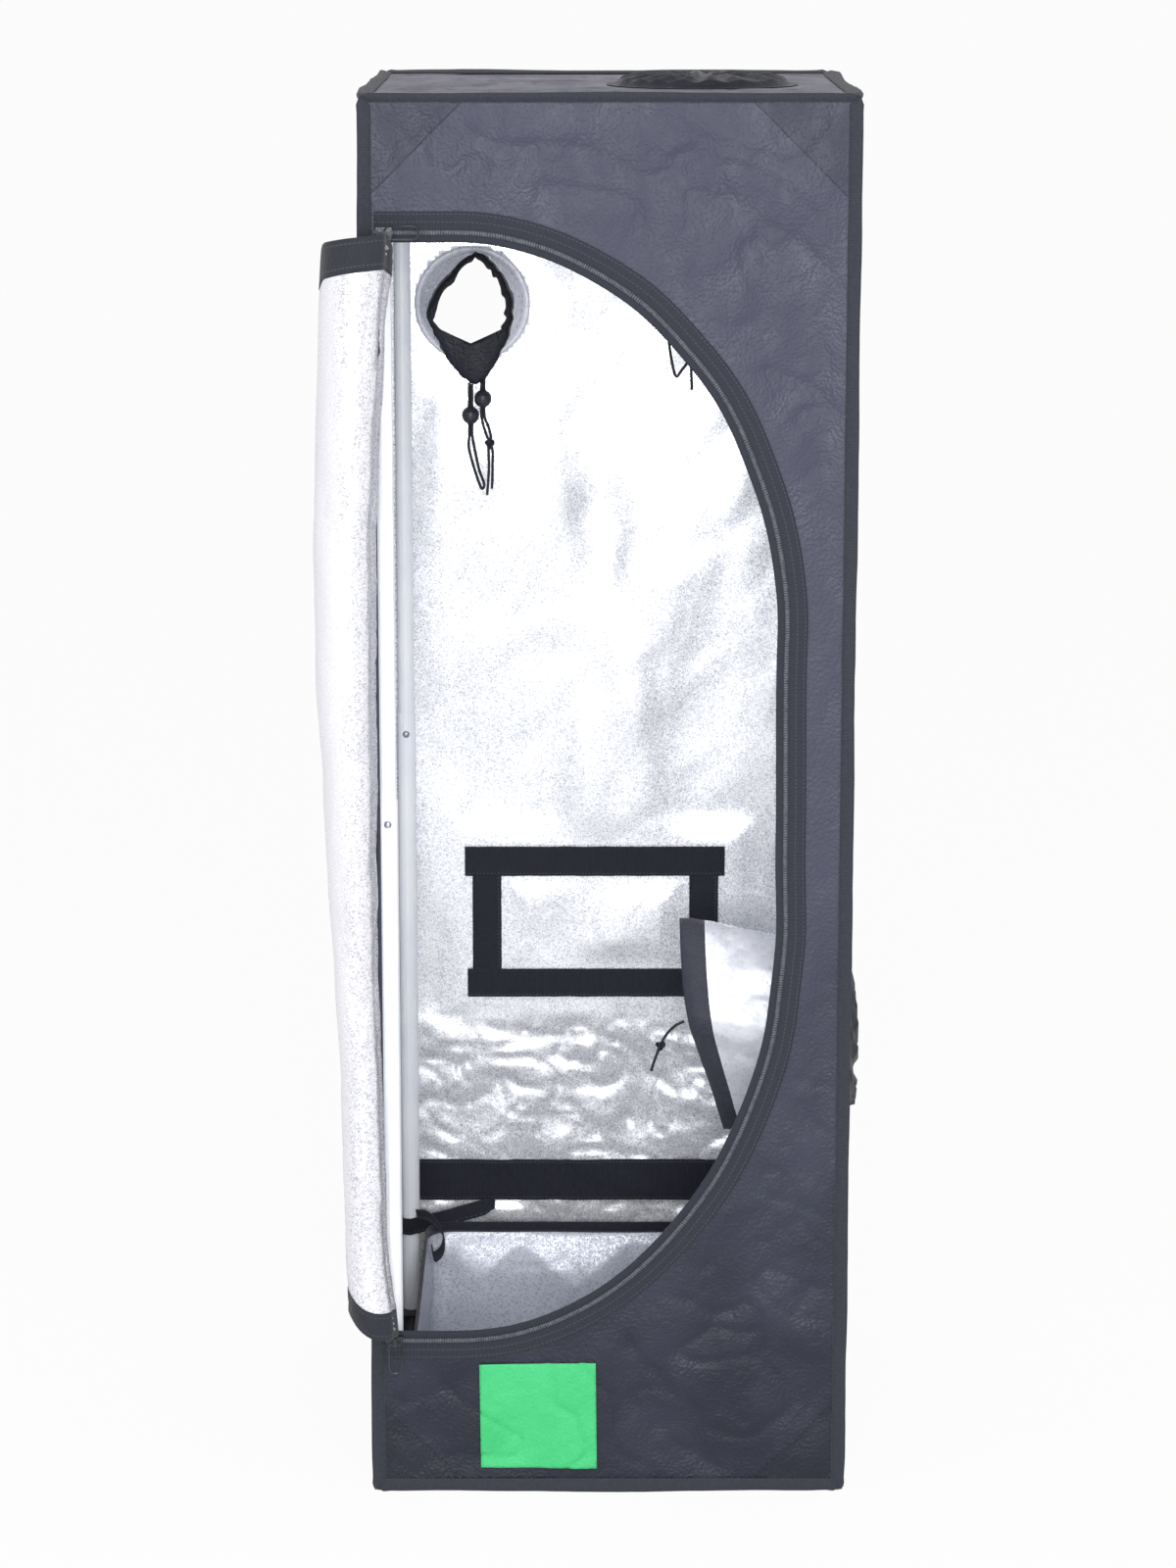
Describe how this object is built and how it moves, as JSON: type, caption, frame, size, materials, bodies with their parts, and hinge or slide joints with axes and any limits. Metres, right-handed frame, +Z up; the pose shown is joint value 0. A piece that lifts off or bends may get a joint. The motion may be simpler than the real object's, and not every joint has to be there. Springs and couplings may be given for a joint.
{
  "type": "indoor grow tent",
  "caption": "Tall square grow tent on a plug-together tube frame, with a curved zip door rolled open, drawstring duct sleeves, a vent flap and a lift-out tray.",
  "frame": {"origin": "middle of the underside of the cover's floor", "axes": "+Z up, the door faces -Y, +X to the right as one looks at the door"},
  "size_m": [0.4646, 0.4698, 1.2025],
  "materials": {
    "outer_cloth": "coated polyester cloth",
    "edge_tape": "woven tape",
    "webbing": "woven webbing",
    "zip_coil": "nylon coil",
    "zip_metal": "black enamel",
    "mirror_cloth": "crinkled silver film",
    "grey_cloth": "silver-grey coated cloth",
    "net": "fine net",
    "powder_coat": "white powder coat",
    "moulding": "moulded",
    "steel": "plain",
    "cord": "braided cord"
  },
  "bodies": {
    "tent": {"cover_floor": "outer_cloth", "cover_roof": "outer_cloth", "cover_front": "outer_cloth", "cover_back": "outer_cloth", "cover_left": "outer_cloth", "cover_right": "outer_cloth", "edge_binding": "edge_tape", "zip_tape": "edge_tape", "zip_chain": "zip_coil", "base_side_left": "moulding", "base_side_right": "moulding", "top_side_left": "moulding", "top_side_right": "moulding", "base_rail_front": "powder_coat", "base_rail_back": "powder_coat", "top_rail_front": "powder_coat", "top_rail_back": "powder_coat", "lower_pole_front_left": "powder_coat", "lower_pole_front_right": "powder_coat", "lower_pole_back_left": "powder_coat", "lower_pole_back_right": "powder_coat", "upper_pole_front_left": "powder_coat", "upper_pole_front_right": "powder_coat", "upper_pole_back_left": "powder_coat", "upper_pole_back_right": "powder_coat", "back_sleeve": "grey_cloth", "side_sleeve_inner": "grey_cloth", "side_sleeve_outer": "outer_cloth", "roof_sleeve_inner": "grey_cloth", "roof_sleeve_outer": "outer_cloth", "vent_net": "net", "back_band": "webbing", "back_cord_a": "cord", "back_cord_b": "cord", "back_cord_tails": "cord", "side_cord": "cord", "roof_cord_loop": "cord", "roof_cord_end": "cord"},
    "door": {"door_roll": "mirror_cloth", "door_tape_top": "edge_tape", "door_tape_bottom": "edge_tape"},
    "upper_slider": {"upper_slider": "zip_metal"},
    "upper_pull": {"upper_pull": "zip_metal"},
    "lower_slider": {"lower_slider": "zip_metal"},
    "lower_pull": {"lower_pull": "zip_metal"},
    "hanging_bar_front": {"hanging_bar_front": "powder_coat"},
    "hanging_bar_back": {"hanging_bar_back": "powder_coat"},
    "vent_flap": {"vent_flap": "mirror_cloth", "vent_flap_border": "webbing"},
    "cord_lock_a": {"cord_lock_a": "moulding"},
    "cord_lock_a_plunger": {"cord_lock_a_plunger": "moulding"},
    "cord_lock_b": {"cord_lock_b": "moulding"},
    "cord_lock_b_plunger": {"cord_lock_b_plunger": "moulding"},
    "spill_tray": {"spill_tray": "grey_cloth", "tray_strap": "webbing"},
    "snap_button_front_left": {"snap_button_front_left": "steel"},
    "snap_button_front_right": {"snap_button_front_right": "steel"},
    "snap_button_back_left": {"snap_button_back_left": "steel"},
    "snap_button_back_right": {"snap_button_back_right": "steel"}
  },
  "joints": [
    {"name": "door_swing", "type": "hinge", "parent": "tent", "child": "door", "pos_m": [-0.20335, -0.20335, 0], "axis": [0, 0, 1], "range_deg": [-75, 12]},
    {"name": "upper_slider_run", "type": "slide", "parent": "tent", "child": "upper_slider", "axis": [1, 0, 0], "range_m": [0, 0.04]},
    {"name": "upper_pull_turn", "type": "hinge", "parent": "upper_slider", "child": "upper_pull", "pos_m": [-0.1827, -0.2061, 1.082], "axis": [0, 0, -1], "range_deg": [0, 170]},
    {"name": "lower_slider_run", "type": "slide", "parent": "tent", "child": "lower_slider", "axis": [1, 0, 0], "range_m": [0, 0.04]},
    {"name": "lower_pull_turn", "type": "hinge", "parent": "lower_slider", "child": "lower_pull", "pos_m": [-0.1827, -0.2061, 0.137], "axis": [-1, 0, 0], "range_deg": [0, 100]},
    {"name": "hanging_bar_front_slide", "type": "slide", "parent": "tent", "child": "hanging_bar_front", "axis": [0, -1, 0], "range_m": [-0.02, 0.05]},
    {"name": "hanging_bar_back_slide", "type": "slide", "parent": "tent", "child": "hanging_bar_back", "axis": [0, 1, 0], "range_m": [-0.02, 0.05]},
    {"name": "vent_flap_turn", "type": "hinge", "parent": "tent", "child": "vent_flap", "pos_m": [0, 0.196, 0.333], "axis": [1, 0, 0], "range_deg": [0, 150]},
    {"name": "cord_lock_a_slide", "type": "slide", "parent": "tent", "child": "cord_lock_a", "axis": [0, 0, -1], "range_m": [0, 0.012]},
    {"name": "cord_lock_a_press", "type": "slide", "parent": "cord_lock_a", "child": "cord_lock_a_plunger", "axis": [0, -1, 0], "range_m": [0, 0.0024], "stiffness_N_per_m": 400, "springref_m": -0.001},
    {"name": "cord_lock_b_slide", "type": "slide", "parent": "tent", "child": "cord_lock_b", "axis": [0, 0, -1], "range_m": [-0.0025, 0.0025]},
    {"name": "cord_lock_b_press", "type": "slide", "parent": "cord_lock_b", "child": "cord_lock_b_plunger", "axis": [0, -1, 0], "range_m": [0, 0.0024], "stiffness_N_per_m": 400, "springref_m": -0.001},
    {"name": "tray_lift", "type": "slide", "parent": "tent", "child": "spill_tray", "axis": [0, 0, 1], "range_m": [0, 0.1]},
    {"name": "snap_button_front_left_press", "type": "slide", "parent": "tent", "child": "snap_button_front_left", "axis": [0, 1, 0], "range_m": [0, 0.003], "stiffness_N_per_m": 600, "springref_m": -0.001},
    {"name": "snap_button_front_right_press", "type": "slide", "parent": "tent", "child": "snap_button_front_right", "axis": [0, 1, 0], "range_m": [0, 0.003], "stiffness_N_per_m": 600, "springref_m": -0.001},
    {"name": "snap_button_back_left_press", "type": "slide", "parent": "tent", "child": "snap_button_back_left", "axis": [0, 1, 0], "range_m": [0, 0.003], "stiffness_N_per_m": 600, "springref_m": -0.001},
    {"name": "snap_button_back_right_press", "type": "slide", "parent": "tent", "child": "snap_button_back_right", "axis": [0, 1, 0], "range_m": [0, 0.003], "stiffness_N_per_m": 600, "springref_m": -0.001}
  ]
}
